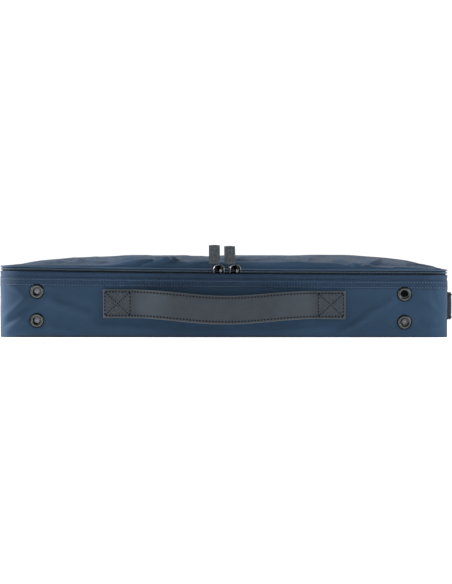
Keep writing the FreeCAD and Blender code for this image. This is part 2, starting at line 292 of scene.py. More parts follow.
def sheet_over_plan(name, inset, step, height, material, face_down=False):
    """Cloth over the whole outline at a height(x, y)."""
    rows = plan_grid(inset, step)
    points = []
    uvs = []
    for row in rows:
        for x, y in row:
            z = height(x, y)
            points.append((x, y, settle(x, y, z)))
            uvs.append((x, y))
    faces = grid_faces(len(rows), len(rows[0]))
    if face_down:
        faces = flipped(faces)
    return piece(name, points, faces, material, uvs)


def edge_distance(x, y, inset):
    """Distance in from the edge of the outline at an inset, along the nearer axis."""
    return min(HALF_X - inset - abs(x), HALF_Y - inset - abs(y))


def thicken(thing, thickness, offset):
    """Gives a sheet its thickness with an applied Solidify."""
    modifier = thing.modifiers.new("thickness", "SOLIDIFY")
    modifier.thickness = thickness
    modifier.offset = offset
    depsgraph = bpy.context.evaluated_depsgraph_get()
    mesh = bpy.data.meshes.new_from_object(thing.evaluated_get(depsgraph))
    old = thing.data
    thing.modifiers.clear()
    thing.data = mesh
    bpy.data.meshes.remove(old)


def sweep(name, path, section, material, closed=False):
    """Sweeps a section of (across, up) along a path of (point, across axis, up axis)."""
    points = []
    for point, across_axis, up_axis in path:
        for across, up in section:
            points.append(point + across_axis * across + up_axis * up)
    sides = grid_faces(len(path), len(section), True, True)
    return piece(name, points, sides if closed else rod_faces(len(path), len(section)), material)


def ellipse(half_width, half_height, count=12):
    """Section of a rod, as (across, up) points."""
    turns = [2 * math.pi * i / count for i in range(count)]
    return [(half_width * math.cos(turn), half_height * math.sin(turn)) for turn in turns]


def hexagon(middle, across, up):
    """Six points round a middle, for the rings of a small rod."""
    return [middle + across * a + up * b for a, b in ellipse(1, 1, 6)]


# Rings of a stitch: share of its length, of its radius, and how many radii it is lifted.
STITCH_RINGS = ((0.0, 0.45, -0.6), (0.16, 0.9, 0.2), (0.5, 1.0, 0.5), (0.84, 0.9, 0.2), (1.0, 0.45, -0.6))


class Pile:
    """Collects many small solids into one mesh."""

    def __init__(self):
        self.points = []
        self.faces = []

    def add(self, points, faces):
        start = len(self.points)
        self.points.extend(points)
        self.faces.extend(tuple(start + k for k in face) for face in faces)

    def stitch(self, start, end, lift_axis, radius):
        """One stitch of thread: a rod that dips at both ends."""
        along = end - start
        side = along.cross(lift_axis).normalized()
        points = []
        for t, size, lift in STITCH_RINGS:
            middle = start + along * t + lift_axis * (radius * lift)
            points += hexagon(middle, side * (radius * size), lift_axis * (radius * size))
        self.add(points, rod_faces(len(STITCH_RINGS), 6))

    def make(self, name, material):
        return piece(name, self.points, self.faces, material)


# ---- materials ------------------------------------------------------------------------
class Graph:
    """Small helper for a material's nodes."""

    def __init__(self, name):
        self.material = bpy.data.materials.new(name)
        self.material.use_nodes = True
        self.tree = self.material.node_tree
        self.shader = self.tree.nodes["Principled BSDF"]

    def node(self, kind, **values):
        node = self.tree.nodes.new(kind)
        for key, value in values.items():
            setattr(node, key, value)
        return node

    def put(self, value, socket):
        if hasattr(value, "is_output"):
            self.tree.links.new(value, socket)
        else:
            socket.default_value = value

    def math(self, operation, a, b=0.0):
        node = self.node("ShaderNodeMath", operation=operation)
        self.put(a, node.inputs[0])
        self.put(b, node.inputs[1])
        return node.outputs[0]

    def plus(self, a, b):
        return self.math("ADD", a, b)

    def times(self, a, b):
        return self.math("MULTIPLY", a, b)

    def place(self):
        return self.node("ShaderNodeTexCoord").outputs["Object"]

    def noise(self, scale, detail=3.0, roughness=0.55):
        node = self.node("ShaderNodeTexNoise")
        self.put(self.place(), node.inputs["Vector"])
        node.inputs["Scale"].default_value = scale
        node.inputs["Detail"].default_value = detail
        node.inputs["Roughness"].default_value = roughness
        return node.outputs["Fac"]

    def cloth_uv(self):
        split = self.node("ShaderNodeSeparateXYZ")
        self.put(self.node("ShaderNodeUVMap", uv_map="cloth").outputs[0], split.inputs[0])
        return split.outputs[0], split.outputs[1]

    def shade(self, value, dark, light):
        """Colour ramp between two colours."""
        ramp = self.node("ShaderNodeValToRGB")
        ramp.color_ramp.elements[0].color = (*dark, 1)
        ramp.color_ramp.elements[1].color = (*light, 1)
        self.put(value, ramp.inputs[0])
        return ramp.outputs[0]

    def spread(self, value, low, high, to_low=0.0, to_high=1.0):
        node = self.node("ShaderNodeMapRange")
        self.put(value, node.inputs[0])
        for socket, number in zip(node.inputs[1:5], (low, high, to_low, to_high)):
            socket.default_value = number
        return node.outputs[0]

    def bump(self, height, distance):
        node = self.node("ShaderNodeBump")
        node.inputs["Distance"].default_value = distance
        node.inputs["Strength"].default_value = 1.0
        self.put(height, node.inputs["Height"])
        self.put(node.outputs[0], self.shader.inputs["Normal"])

    def finish(self, **values):
        """Sets the shader's inputs, named with _ for a space."""
        for key, value in values.items():
            self.put(value, self.shader.inputs[key.replace("_", " ")])
        return self.material


def scaled(colour, factor):
    return tuple(min(part * factor, 1.0) for part in colour)


def woven(name, colour, thread, contrast=0.25, roughness=0.75, specular=0.12, mottle=0.16,
          bump=1.0, slub_scale=900.0, slub_share=1.0):
    """Plain weave from the piece's own cloth coordinates, with uneven dye and soft nap."""
    g = Graph(name)
    u, v = g.cloth_uv()
    turns = 2 * math.pi / thread
    warp = g.math("SINE", g.times(u, turns))
    weft = g.math("SINE", g.times(v, turns))
    weave = g.times(warp, weft)
    slub = g.noise(slub_scale, 3.0, 0.7)
    g.bump(g.plus(g.times(weave, 0.5), g.times(slub, 0.9)), 0.00018 * bump)
    patches = g.noise(11.0, 4.0, 0.6)
    tone = g.plus(g.times(weave, contrast * 0.5), g.times(patches, mottle * 4))
    uneven = g.times(g.math("SUBTRACT", slub, 0.5), contrast * slub_share)
    tone = g.plus(tone, uneven)
    tone = g.spread(tone, mottle * 2 - contrast * 0.7, mottle * 2 + contrast * 0.7)
    spread = 0.5 * (contrast + mottle)
    base = g.shade(tone, scaled(colour, 1 - spread), scaled(colour, 1 + spread))
    rough = g.spread(patches, 0.3, 0.7, roughness - 0.05, roughness + 0.05)
    return g.finish(Base_Color=base, Roughness=rough, Sheen_Weight=0.13, Sheen_Roughness=0.3,
                    Specular_IOR_Level=specular)


def leather(name, colour, edge_light, specular=0.22):
    """Waxed leather: pebbled grain, cloudy wax and paler burnished edges."""
    g = Graph(name)
    u, v = g.cloth_uv()
    cells = g.node("ShaderNodeTexVoronoi", feature="DISTANCE_TO_EDGE")
    g.put(g.place(), cells.inputs["Vector"])
    cells.inputs["Scale"].default_value = 900.0
    grain = g.spread(cells.outputs["Distance"], 0.0, 0.25)
    clouds = g.noise(38.0, 5.0, 0.62)
    fine = g.noise(1400.0, 2.0)
    edge = g.spread(g.plus(g.math("ABSOLUTE", v), g.times(clouds, 0.06)), 0.93, 1.02)
    speckle = g.noise(620.0, 3.0, 0.7)
    pressed = g.spread(g.math("ABSOLUTE", u), BOX_NEAR - 0.5 * MM, BOX_NEAR + 0.5 * MM, 0.35, 1.6)
    tone = g.times(g.math("SUBTRACT", speckle, 0.5), pressed)
    tone = g.plus(tone, g.times(g.math("SUBTRACT", clouds, 0.5), 0.5))
    tone = g.spread(g.plus(tone, g.times(grain, 0.1)), -0.35, 0.45)
    base = g.shade(tone, scaled(colour, 0.50), scaled(colour, 1.50))
    mix = g.node("ShaderNodeMix", data_type="RGBA")
    g.put(edge, mix.inputs["Factor"])
    g.put(base, mix.inputs[6])
    mix.inputs[7].default_value = (*edge_light, 1)
    g.bump(g.plus(g.times(grain, 0.6), g.times(fine, 0.6)), 0.00012)
    rough = g.spread(clouds, 0.3, 0.7, 0.52, 0.66)
    return g.finish(Base_Color=mix.outputs[2], Roughness=rough, Specular_IOR_Level=specular)


def webbing(name, colour, rib):
    """Coarse tape: ribs along its length and uneven, heathered yarn."""
    g = Graph(name)
    u, v = g.cloth_uv()
    ribs = g.math("SINE", g.times(u, 2 * math.pi / rib))
    picks = g.math("SINE", g.times(v, 2 * math.pi / (rib * 0.8)))
    yarn = g.noise(380.0, 4.0, 0.8)
    tone = g.plus(g.times(ribs, 0.10), g.times(g.times(ribs, picks), 0.10))
    tone = g.spread(g.plus(tone, yarn), 0.30, 0.72)
    g.bump(tone, 0.0003)
    base = g.shade(tone, scaled(colour, 0.42), scaled(colour, 1.58))
    return g.finish(Base_Color=base, Roughness=0.85, Sheen_Weight=0.05, Specular_IOR_Level=0.1)


def plated(name, colour, roughness, worn, scale=420.0):
    """Dark plated metal, rubbed paler where handled."""
    g = Graph(name)
    wear = g.noise(scale, 4.0, 0.65)
    base = g.shade(g.spread(wear, 0.42, 0.66), colour, worn)
    g.bump(wear, 0.00002)
    rough = g.spread(wear, 0.3, 0.7, roughness - 0.05, roughness + 0.08)
    return g.finish(Base_Color=base, Metallic=1.0, Roughness=rough)


def plain(name, dark, light, scale, roughness, distance, specular=0.3):
    """Speckled soft or moulded stuff: foam, board, thread, teeth."""
    g = Graph(name)
    speck = g.noise(scale, 3.0, 0.6)
    base = g.shade(g.spread(speck, 0.32, 0.68), dark, light)
    g.bump(speck, distance)
    return g.finish(Base_Color=base, Roughness=roughness, Specular_IOR_Level=specular)


BOX_NEAR = 112.2 * MM     # the cross-stitched box at each end of a strap, measured from its middle
BOX_FAR = 142.4 * MM
NAVY = (0.0243, 0.0515, 0.0925)
CLOTH = woven("navy nylon", NAVY, 0.9 * MM)
HEM = woven("navy hem", scaled(NAVY, 0.92), 0.9 * MM)
TAPE = woven("zip tape", (0.020, 0.040, 0.075), 1.6 * MM, contrast=1.1, roughness=0.7, bump=2.0,
             slub_scale=650.0, slub_share=2.6)
PIPING = woven("piping", scaled(NAVY, 1.3), 0.8 * MM, contrast=0.2, specular=0.3)
LINING = woven("grey lining", (0.34, 0.36, 0.38), 0.8 * MM, contrast=0.12, mottle=0.06)
WEBBING = webbing("grey webbing", (0.064, 0.073, 0.081), 1.7 * MM)
BACKING = woven("black webbing", (0.012, 0.013, 0.016), 1.3 * MM, contrast=0.3, bump=1.5)
LEATHER = leather("dark grey leather", (0.038, 0.047, 0.058), (0.064, 0.073, 0.075))
# Side strap leather: the same leather darkened as painted shade of the strap's shaded face.
SIDE_LEATHER_PAINTED_SHADE = leather("leather darkened as painted shade", (0.009, 0.012, 0.016), (0.028, 0.032, 0.036), 0.05)
BLACK_NICKEL = plated("black nickel", (0.070, 0.076, 0.075), 0.28, (0.108, 0.116, 0.113), 160.0)
GUNMETAL = plated("gunmetal", (0.13, 0.136, 0.142), 0.32, (0.26, 0.27, 0.28), 240.0)
WIRE_METAL = plated("blackened wire", (0.022, 0.024, 0.026), 0.30, (0.060, 0.063, 0.066))
TEETH = plain("zip teeth", (0.052, 0.088, 0.132), (0.100, 0.155, 0.220), 700.0, 0.45, 0.00003, 0.4)
# Black for the lower cord behind the teeth: painted shade of the gap under the chain.
CORD = plain("zip cord blackened as painted shade", (0.002, 0.003, 0.004), (0.008, 0.010, 0.012), 900.0, 0.85, 0.00005, 0.1)
# Darkened zip tape for the upper cord: painted shade of the gap between chain and piping.
SHADED_TAPE = plain("zip tape darkened as painted shade", (0.006, 0.010, 0.015), (0.013, 0.021, 0.030), 900.0, 0.8,
                    0.00005, 0.1)
# Black for the slider's recess: painted shade in place of the plate's own metal.
RECESS_PAINTED_SHADE = plain("slider recess black painted shade", (0.006, 0.007, 0.008), (0.014, 0.015, 0.016), 600.0, 0.35, 0.00003, 0.5)
FOAM = plain("grey foam", (0.16, 0.165, 0.17), (0.30, 0.305, 0.31), 1500.0, 0.95, 0.0002, 0.1)
BOARD = plain("black board", (0.02, 0.02, 0.02), (0.04, 0.04, 0.042), 500.0, 0.6, 0.00005)
NAVY_THREAD = plain("blue grey thread", (0.075, 0.115, 0.165), (0.130, 0.185, 0.250), 2500.0, 0.6, 0.00003)
BLACK_THREAD = plain("black thread", (0.003, 0.003, 0.005), (0.010, 0.010, 0.014), 2500.0, 0.8, 0.00003, 0.05)
WEB_THREAD = plain("grey thread", (0.04, 0.045, 0.05), (0.08, 0.088, 0.095), 2500.0, 0.6, 0.00003)
PLUG = plain("eyelet lining", (0.10, 0.105, 0.12), (0.26, 0.27, 0.29), 900.0, 0.6, 0.0001)
# Black for painted shade: the ring round each eyelet flange, the disc behind each plug and the empty upper
# right hole.
BLACK_PAINTED_SHADE = plain("eyelet black painted shade", (0.002, 0.003, 0.003), (0.006, 0.008, 0.008), 900.0, 0.9, 0.0001, 0.05)


def dress(thing, body, slot, *nodes):
    """Rides a piece on its body and hides the CAD nodes it stands for; slot is not used."""
    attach(thing, body)
    if nodes:
        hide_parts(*nodes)
    return thing


def box_middle(name):
    low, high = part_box(name)
    return [(a + b) / 2 for a, b in zip(low, high)]


ZIP_RUN, WHOLE_RUN = outline(2.3 * MM)
EYELETS = []              # name, x, z
for name in ("lower_left", "lower_right", "upper_left", "upper_right"):
    middle = box_middle("eyelet_" + name)
    EYELETS.append((name, middle[0], middle[2]))

# ---- case wall ------------------------------------------------------------------------
CREASES = in_mm((         # on the front wall: x, z of both ends, width, height
    (-257, 26, -240, 42, 3.4, 2.4),
    (-256, 18, -236, 34, 2.8, -1.8),
    (-256, 9, -232, 26, 3.4, 2),
    (-254, 60, -240, 50, 3, 1.4),
    (-208, 42, -166, 28, 5.5, 2.3),
    (-214, 14, -186, 6, 4.5, 2),
    (232, 54, 254, 32, 3.8, 2.2),
    (247, 60, 254, 40, 3, -1.4),
    (176, 30, 205, 48, 5, 2.6),
    (232, 20, 258, 9, 4.5, -2.3),
    (138, 6, 162, 19, 3.5, 2.6),
    (-150, 14, -90, 10, 5, 1.8),
    (75, 9, 135, 14, 5, 1.8),
))
STITCH_ROWS = (WALL_TOP - 3 * MM, WALL_TOP - 9 * MM)
HEM_LOW = WALL_TOP - 11 * MM
HEM_PROUD = 0.3 * MM
SEWN_MIDDLE = 128 * MM    # a strap's sewn ends, measured from the strap's middle
SEWN_HALF_LONG = 18 * MM
SEWN_HALF_HIGH = 17 * MM
SLACK_REACH = 170 * MM
EYELET_HOLE = 6.1 * MM


def ridge(x, y, x0, y0, x1, y1, width):
    """1 on the line between two points, fading to 0 at its sides and ends."""
    dx = x1 - x0
    dy = y1 - y0
    size = math.hypot(dx, dy)
    along = ((x - x0) * dx + (y - y0) * dy) / size
    across = ((x - x0) * dy - (y - y0) * dx) / size
    beyond = max(0.0, -along, along - size)
    return math.exp(-(across * across) / (width * width) - beyond * beyond / (4 * width * width))


def calm_near_strap(along, z, mid_z):
    """0 where a sewn strap end holds the wall flat, 1 elsewhere."""
    beside = abs(abs(along) - SEWN_MIDDLE) - SEWN_HALF_LONG
    return smooth(0.0, 12 * MM, max(beside, abs(z - mid_z) - SEWN_HALF_HIGH))


def calm_near_fittings(place, z):
    """0 where an eyelet or a sewn strap end holds the wall flat, 1 elsewhere."""
    calm = 1.0
    if place.ny < -0.5:
        near = min(math.hypot(place.x - x, z - eye_z) for name, x, eye_z in EYELETS)
        calm = min(smooth(8 * MM, 20 * MM, near), calm_near_strap(place.x, z, 40 * MM))
    if place.nx > 0.5:
        calm = min(calm, calm_near_strap(place.y, z, 39.5 * MM))
    return calm


def slack(x):
    """How slack the front's top is: 1 in the middle, 0 towards the corners."""
    return math.exp(-(x / SLACK_REACH) ** 4)


def wall_push(place, inset, z):
    """Soft bulge, broad waves and a few creases of the padded wall."""
    if inset > SKIN / 2:
        return 0.0
    upright = smooth(0.0, 10 * MM, z) * (1 - smooth(WALL_TOP - 12 * MM, WALL_TOP - MM, z))
    spot = Vector((place.x * 14, place.y * 14, z * 22))
    waves = 0.9 * MM * noise.noise(spot) + 0.4 * MM * noise.noise(spot * 2.7)
    push = 0.0
    if place.ny < -0.3:
        for x0, z0, x1, z1, width, height in CREASES:
            waves += height * ridge(place.x, z, x0, z0, x1, z1, width)
        hollow = smooth(0.042, 0.060, z) * (1 - 0.5 * smooth(0.062, 0.070, z))
        push -= 1.5 * MM * slack(place.x) * hollow
        push -= eyelet_dent(place.x, z)
        push -= 1.5 * MM * (1 - smooth(0.0, 9 * MM, z)) * smooth(HALF_X, FLAT_X, abs(place.x))
    for row in STITCH_ROWS:
        push -= 0.15 * MM * math.exp(-((z - row) / MM) ** 2)
    full = 0.6 * MM if place.ny < -0.5 else 0.2 * MM
    return push + upright * calm_near_fittings(place, z) * (full + waves) + end_lean(place)


def end_lean(place, inset=0.0, z=0.0):
    """The left end stands a little further out than its board, all the way through."""
    return 0.9 * MM * smooth(0.2, 0.9, -place.nx)


def eyelet_dent(x, z):
    """How far each eyelet's flange has pulled the cloth in round it."""
    radii = [math.hypot(x - eye_x, z - eye_z) for name, eye_x, eye_z in EYELETS]
    return sum(1.2 * MM * (1 - smooth(7.8 * MM, 9.8 * MM, radius)) for radius in radii)


def wall_profile():
    """Outer face of the wall, from under the bottom edge to the folded hem."""
    profile = mm_pairs((9, 0.25), (5, 0.15), (1.6, 0.1), (0.6, 0.2), (0.15, 0.6), (0, 1.4))
    z = 4.0 * MM
    while z < WALL_TOP - 13 * MM:
        profile.append((0.0, z))
        z += 2.2 * MM
    while z < WALL_TOP - 1.2 * MM:
        profile.append((0.0, z))
        z += 0.8 * MM
    rim = mm_pairs((0.05, -0.6), (0.3, -0.15), (0.7, 0), (1.1, -0.2), (1.2, -1), (1.2, -8), level=WALL_TOP)
    return profile + rim


def in_eyelet_hole(point):
    gaps = [math.hypot(point.x - x, point.z - settle(x, -HALF_Y, z)) for name, x, z in EYELETS]
    return point.y < -HALF_Y + 4 * MM and min(gaps) < EYELET_HOLE


def cut_eyelet_holes(wall):
    """Cuts the holes that the eyelets fill; each flange hides the cut edge."""
    mesh = bmesh.new()
    mesh.from_mesh(wall.data)
    cut = [face for face in mesh.faces if in_eyelet_hole(face.calc_center_median())]
    bmesh.ops.delete(mesh, geom=cut, context="FACES")
    mesh.to_mesh(wall.data)
    mesh.free()


def make_wall():
    wall = band("case_wall_cloth", WHOLE_RUN, wall_profile(), CLOTH, True, False, wall_push)
    cut_eyelet_holes(wall)
    dress(wall, "case", "navy_nylon", "gusset_skin", "back_skin")
    pads = rectangle(3.6 * MM, 7.2 * MM, 3.2 * MM, WALL_TOP - MM)
    padding = band("wall_padding", WHOLE_RUN[::4], pads, FOAM, True)
    dress(padding, "case", "foam", "foam_front", "foam_back", "foam_left", "foam_right", "foam_corners")
    hem = [(0.6 * MM, HEM_LOW), (-0.6 * HEM_PROUD, HEM_LOW + 0.1 * MM), (-HEM_PROUD, HEM_LOW + 0.6 * MM)]
    for i in range(14):
        hem.append((-HEM_PROUD, HEM_LOW + MM + i * (WALL_TOP - 2 * MM - HEM_LOW) / 13))
    hem += [(-0.5 * HEM_PROUD, WALL_TOP - 0.3 * MM), (0.6 * MM, WALL_TOP - 0.1 * MM)]

    def over_wall(place, inset, z):
        return wall_push(place, 0.0, z)

    dress(band("wall_hem_tape", WHOLE_RUN, hem, TAPE, True, True, over_wall), "case", "navy_trim")
    thread = Pile()
    for row in STITCH_ROWS:
        stitch_round(thread, WHOLE_RUN, row, 3.4 * MM, 1.3 * MM, 0.45 * MM, HEM_PROUD)
    dress(thread.make("wall_topstitching", NAVY_THREAD), "case", "navy_nylon")


def stitch_round(thread, places, z, pitch, length, radius, lift):
    """A row of stitches on the outer face of the wall."""
    distance = places[0].distance + pitch
    while distance + length < places[-1].distance:
        ends = []
        for at in (distance, distance + length):
            place = place_at(places, at)
            out = lift + wall_push(place, 0.0, z)
            x, y, height = place.at(-out, z)
            ends.append(Vector((x, y, settle(x, y, height))))
        thread.stitch(ends[0], ends[1], Vector((place.nx, place.ny, 0)), radius)
        distance += pitch


def make_base():
    def under(x, y):
        inside = smooth(8 * MM, 30 * MM, edge_distance(x, y, 0))
        return (0.30 + 0.35 * inside * (0.5 + 0.5 * wobble(x * 25, y * 25, 2))) * MM

    base = sheet_over_plan("base_cloth", 7 * MM, 6 * MM, under, CLOTH, True)
    dress(base, "case", "navy_nylon", "base_skin")


# ---- inside ---------------------------------------------------------------------------
def make_inside():
    profile = [(WALL + 3 * MM, FLOOR_TOP + 0.2 * MM), (WALL + 0.8 * MM, FLOOR_TOP + 0.7 * MM)]
    count = 16
    for i in range(count + 1):
        t = i / count
        z = FLOOR_TOP + 2 * MM + t * (WALL_TOP - 2 * MM - FLOOR_TOP - 2 * MM)
        profile.append((WALL + 0.3 * MM * math.sin(math.pi * t), z))

    def soft(place, inset, z):
        return 0.45 * MM * wobble(place.x * 12, place.y * 12, z * 30 + 7)

    lining = band("wall_lining_cloth", WHOLE_RUN[::2], profile, LINING, True, False, soft)
    dress(lining, "case", "lining", "wall_lining")
    rim_mid = (2.3 * MM + WALL) / 2
    rim_half = (WALL - 2.3 * MM) / 2 + 0.5 * MM
    rim = [(WALL + 0.35 * MM, WALL_TOP - 9 * MM), (WALL + 0.5 * MM, WALL_TOP - 3 * MM)]
    for i in range(9):
        angle = math.pi * i / 8
        rim.append((rim_mid + rim_half * math.cos(angle), WALL_TOP - 0.6 * MM + 1.6 * MM * math.sin(angle)))
    rim.append((2.0 * MM, WALL_TOP - 6 * MM))
    binding = band("rim_binding_cloth", WHOLE_RUN, rim, HEM, True, False)
    dress(binding, "case", "lining", "rim_binding")

    def floor(x, y):
        inside = smooth(0.0, 25 * MM, edge_distance(x, y, WALL))
        return FLOOR_TOP + 0.5 * MM * inside * (1 + wobble(x * 15, y * 15, 5))

    cloth = sheet_over_plan("floor_lining_cloth", WALL + 0.4 * MM, 5 * MM, floor, LINING)
    dress(cloth, "case", "lining", "base_lining")


# ---- zip ------------------------------------------------------------------------------
CORD_OUTER = 1.9 * MM     # insets of the cords behind the teeth
CORD_INNER = 2.6 * MM
TEETH_PITCH = 3.2 * MM


def make_zip():
    lower = mm_pairs((2.6, -9), (2, -1.5), (1.2, 0.4), (0.2, 1.8), (-0.2, 3.6), (-0.1, 5.2), level=WALL_TOP)
    lower += mm_pairs((0.5, -0.4), (1.6, -0.5), level=CHAIN_LOW)
    lower += mm_pairs((2.4, 4), (3.2, -9), level=WALL_TOP)

    def fuller(place, inset, z):
        """The valley over the hem is deep only along the slack middle of the front."""
        deep = slack(place.x) if place.ny < -0.5 else 0.0
        return end_lean(place) + (0.9 * MM * (1 - deep) if inset > 0.5 * MM else 0.0)

    tape = band("zip_tape_lower_cloth", ZIP_RUN, lower, TAPE, False, True, fuller)
    dress(tape, "case", "zip_tape", "zip_tape_lower")
    gap = 0.1 * MM
    # The lower cord is painted black as the shade of the gap under the chain.
    lower_cord = rectangle(CORD_OUTER, CORD_INNER, CHAIN_LOW - 2 * MM, CHAIN_MID - gap)
    cord = band("zip_cord_lower", ZIP_RUN, lower_cord, CORD, False, True, end_lean)
    dress(cord, "case", "zip_tape")
    # The upper cord is darkened tape: painted shade of the gap under the piping.
    upper_cord = rectangle(CORD_OUTER, CORD_INNER, CHAIN_MID + gap, PIPING_Z)
    cord = band("zip_cord_upper", ZIP_RUN, upper_cord, SHADED_TAPE, False, True, end_lean)
    dress(cord, "lid", "zip_tape", "zip_tape_upper")
    lower_teeth = teeth(CHAIN_LOW + 1.1 * MM, CHAIN_MID + 0.6 * MM, 0.0)
    upper_teeth = teeth(CHAIN_MID + 0.45 * MM, CHAIN_HIGH - 0.9 * MM, 0.5)
    dress(lower_teeth.make("zip_teeth_lower", TEETH), "case", "zip_teeth", "zip_chain_lower")
    dress(upper_teeth.make("zip_teeth_upper", TEETH), "lid", "zip_teeth", "zip_chain_upper")


def teeth(z_low, z_high, phase):
    """Row of rounded upright teeth along the zip's run."""
    pile = Pile()
    for i in range(int(ZIP_RUN[-1].distance / TEETH_PITCH) - 2):
        place = place_at(ZIP_RUN, (i + 1 + phase) * TEETH_PITCH)
        along = Vector((-place.ny, place.nx, 0)) * (0.72 * MM)
        out = Vector((place.nx, place.ny, 0)) * (0.8 * MM)
        points = []
        for t, size in ((0.0, 0.5), (0.25, 1.0), (0.75, 1.0), (1.0, 0.5)):
            x, y, z = place.at(0.7 * MM - end_lean(place), z_low + (z_high - z_low) * t)
            points += hexagon(Vector((x, y, settle(x, y, z))), along * size, out * size)
        pile.add(points, rod_faces(4, 6))
    return pile


def make_hinge():
    """Cloth strip sewn behind the case, dented along the hinge line."""
    fold_z = HINGE["pos_m"][2]
    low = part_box("hinge_tape_lower")[0][2]
    count_x = 120
    count_z = 22
    points = []
    uvs = []
    for i in range(count_x + 1):
        x = FLAT_X * (2 * i / count_x - 1)
        for j in range(count_z + 1):
            z = low + (LID_EDGE - low) * j / count_z
            dent = 0.5 * MM * math.exp(-((z - fold_z) / (1.2 * MM)) ** 2)
            wave = 0.15 * MM * wobble(x * 40, 3, z * 60)
            points.append((x, HALF_Y + 0.75 * MM - dent + wave, z))
            uvs.append((x, z))
    strip = piece("hinge_strip", points, grid_faces(count_x + 1, count_z + 1), HEM, uvs)
    thicken(strip, 0.7 * MM, 1.0)
    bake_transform(strip)
    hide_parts("hinge_tape_lower", "hinge_tape_upper")


# ---- lid ------------------------------------------------------------------------------
LID_FOLDS = in_mm((       # on the lid's front slope: x and rise of both ends, half width, height
    (-92, 3, -71, 9.2, 1.9, 2.5),
    (-71, 9.2, -48, 14, 1.6, 1.9),
    (-122, 7.5, -94, 13, 1.4, 1.8),
    (-100, 4.5, -86, 8.5, 1.6, -1.8),
    (-85, 4, -55, 10, 1.8, -1.5),
    (-176, 6, -158, 11.5, 1.6, 1.4),
    (-200, 4.5, -184, 8.5, 1.6, 1.2),
    (12, 9.8, 30, 13.2, 1.4, 2.1),
    (30, 13.2, 52, 15.5, 1.4, 1.6),
    (40, 4, 78, 6.8, 1.7, 1.4),
    (86, 7.5, 120, 4, 1.6, 1.4),
    (139, 12.5, 157, 5.2, 1.5, 2.1),
    (133, 11, 150, 4.5, 1.4, -1.5),
    (168, 4, 186, 9.5, 1.6, 1.5),
    (205, 3, 240, 1.6, 1.4, 1.2),
    (-40, 5, -18, 8.5, 1.8, 1),
))
SIDE_WIDE = 5 * MM        # how far in the lid's steep sides reach


def lid_side(x):
    """Height of the lid's steep sides: low at both ends, highest left of the middle."""
    rising = smooth(-0.146, -0.092, x)
    easing = smooth(-0.078, -0.045, x)
    falling = smooth(0.095, 0.215, x)
    return (2.4 + 9.2 * rising - 3.8 * easing) * (1 - 0.72 * falling) * MM


def lid_share(x):
    """Height of the lid along its length, as a share of its crown."""
    u = min(abs(x) / (HALF_X - LID_INSET), 1.0)
    fullness = 0.91 + 0.12 * smooth(-0.06, 0.11, x)
    return fullness * (1 - u ** (3.4 if x < 0 else 5.8))


def lid_rise(x, y):
    """Height over the lid's edge before any fold: steep sides, then a gentle crown."""
    half_y = HALF_Y - LID_INSET
    v = min(abs(y) / half_y, 1.0)
    inwards = min((half_y - abs(y)) / SIDE_WIDE, 1.0)
    steep = math.sqrt(max(0.0, 1 - (1 - inwards) ** 2))
    side = lid_side(x)
    return lid_share(x) * (side * steep + (CROWN - side) * (1 - v ** 3.0))


def lid_point(x, y, buckle):
    """Place on the finished lid: crown, folds of the front slope and buckled cloth."""
    step = 0.3 * MM
    rise = lid_rise(x, y)
    slope_x = (lid_rise(x + step, y) - lid_rise(x - step, y)) / (2 * step)
    slope_y = (lid_rise(x, y + step) - lid_rise(x, y - step)) / (2 * step)
    facing = Vector((-slope_x, -slope_y, 1)).normalized()
    edge = edge_distance(x, y, LID_INSET)
    out = smooth(0.0, 14 * MM, edge) * smooth(-HALF_X + 8 * MM, -HALF_X + 45 * MM, x) * buckle(x, y)
    if y < 0:
        held = smooth(0.2 * MM, 2.5 * MM, rise) * (1 - 0.85 * smooth(10 * MM, 13.5 * MM, rise))
        for x0, rise0, x1, rise1, width, height in LID_FOLDS:
            out += held * height * ridge(x, rise, x0, rise0, x1, rise1, width)
    spot = Vector((x * 9, y * 9, 1))
    out += smooth(0.0, 10 * MM, edge) * (0.5 * MM * noise.noise(spot) + 0.3 * MM * noise.noise(spot * 2.3))
    return Vector((x, y, LID_EDGE + rise)) + facing * out


def close_at_edge(count):
    """Steps from -1 to 1, closer together near both ends."""
    steps = []
    for i in range(count + 1):
        t = 2 * i / count - 1
        steps.append(1.5 * t - 0.5 * t ** 3)
    return steps


def make_lid():
    half_x = HALF_X - LID_INSET
    half_y = HALF_Y - LID_INSET
    buckle = buckled_cloth()
    points = []
    uvs = []
    columns = [i / 220 - 1 for i in range(441)]
    rows = close_at_edge(120)
    for i in columns:
        for j in rows:
            x, y = rounded_off(i * half_x, j * half_y, half_x, half_y, CORNER - LID_INSET)
            point = lid_point(x, y, buckle)
            point.z = settle(point.x, point.y, point.z)
            points.append(point)
            uvs.append((x, y))
    top = piece("lid_cloth", points, grid_faces(len(columns), len(rows)), CLOTH, uvs)
    dress(top, "lid", "navy_nylon", "lid_skin")
    cord = [(PIPING_R - 0.2 * MM + across, PIPING_Z + up) for across, up in ellipse(PIPING_R, PIPING_R, 10)]
    welt = band("lid_piping_cloth", WHOLE_RUN, cord, PIPING, True, True, end_lean)
    dress(welt, "lid", "navy_trim", "lid_piping")

    def pad_top(x, y):
        return LID_EDGE - 2 * MM + 0.75 * lid_rise(x, y)

    pad = sheet_over_plan("lid_padding", 6.5 * MM, 8 * MM, pad_top, FOAM)
    thicken(pad, MM, -1.0)
    dress(pad, "lid", "foam", "lid_foam", "lid_board")

    def under(x, y):
        inside = smooth(0.0, 22 * MM, edge_distance(x, y, 3 * MM))
        return LID_LINING + (-0.7 - inside * (0.6 - 0.35 * wobble(x * 13, y * 13, 9))) * MM

    lining = sheet_over_plan("lid_lining_cloth", 2.8 * MM, 5 * MM, under, LINING, True)
    dress(lining, "lid", "lining", "lid_lining")


